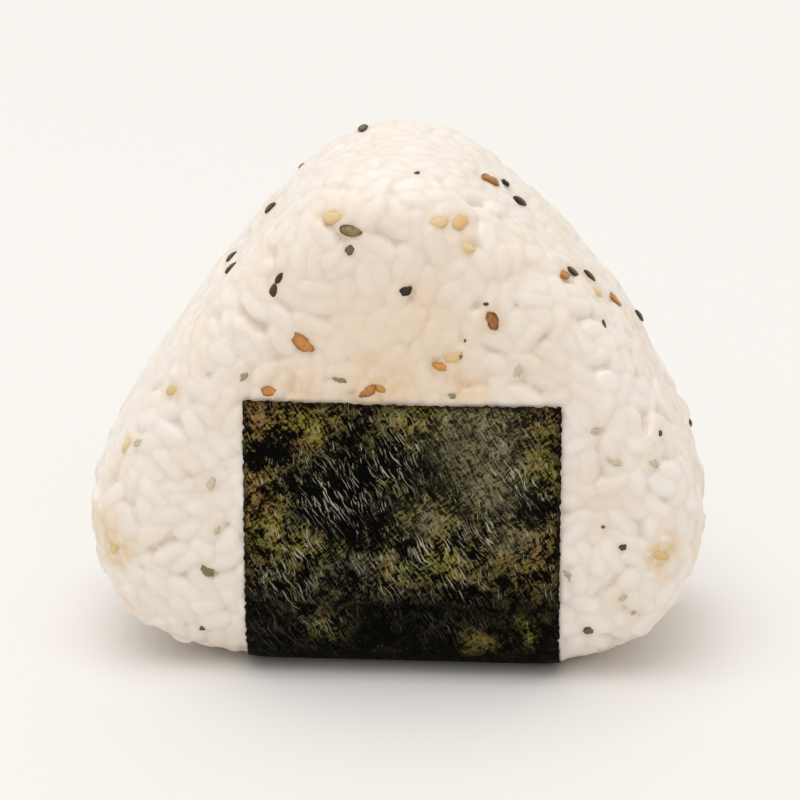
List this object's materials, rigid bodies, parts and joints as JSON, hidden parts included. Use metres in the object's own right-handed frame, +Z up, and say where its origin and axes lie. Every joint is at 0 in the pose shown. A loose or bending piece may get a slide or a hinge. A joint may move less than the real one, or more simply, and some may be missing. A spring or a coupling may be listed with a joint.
{
  "type": "onigiri rice ball",
  "caption": "Triangular pressed rice ball that stands on its base edge, with a nori strip running up the front, under the base and up the back.",
  "frame": {"origin": "on the underside of the nori strip, which the rice ball stands on, below the middle of the triangle", "axes": "+Z up, +X across the width of the triangle, -Y out of the front face"},
  "size_m": [0.0846, 0.038, 0.072],
  "materials": {
    "rice": "moist cooked short-grain rice, warm white",
    "nori": "dried laver sheet, green-black with a slight sheen"
  },
  "bodies": {
    "root": {"rice_ball": "rice", "nori_strip": "nori"}
  },
  "joints": []
}
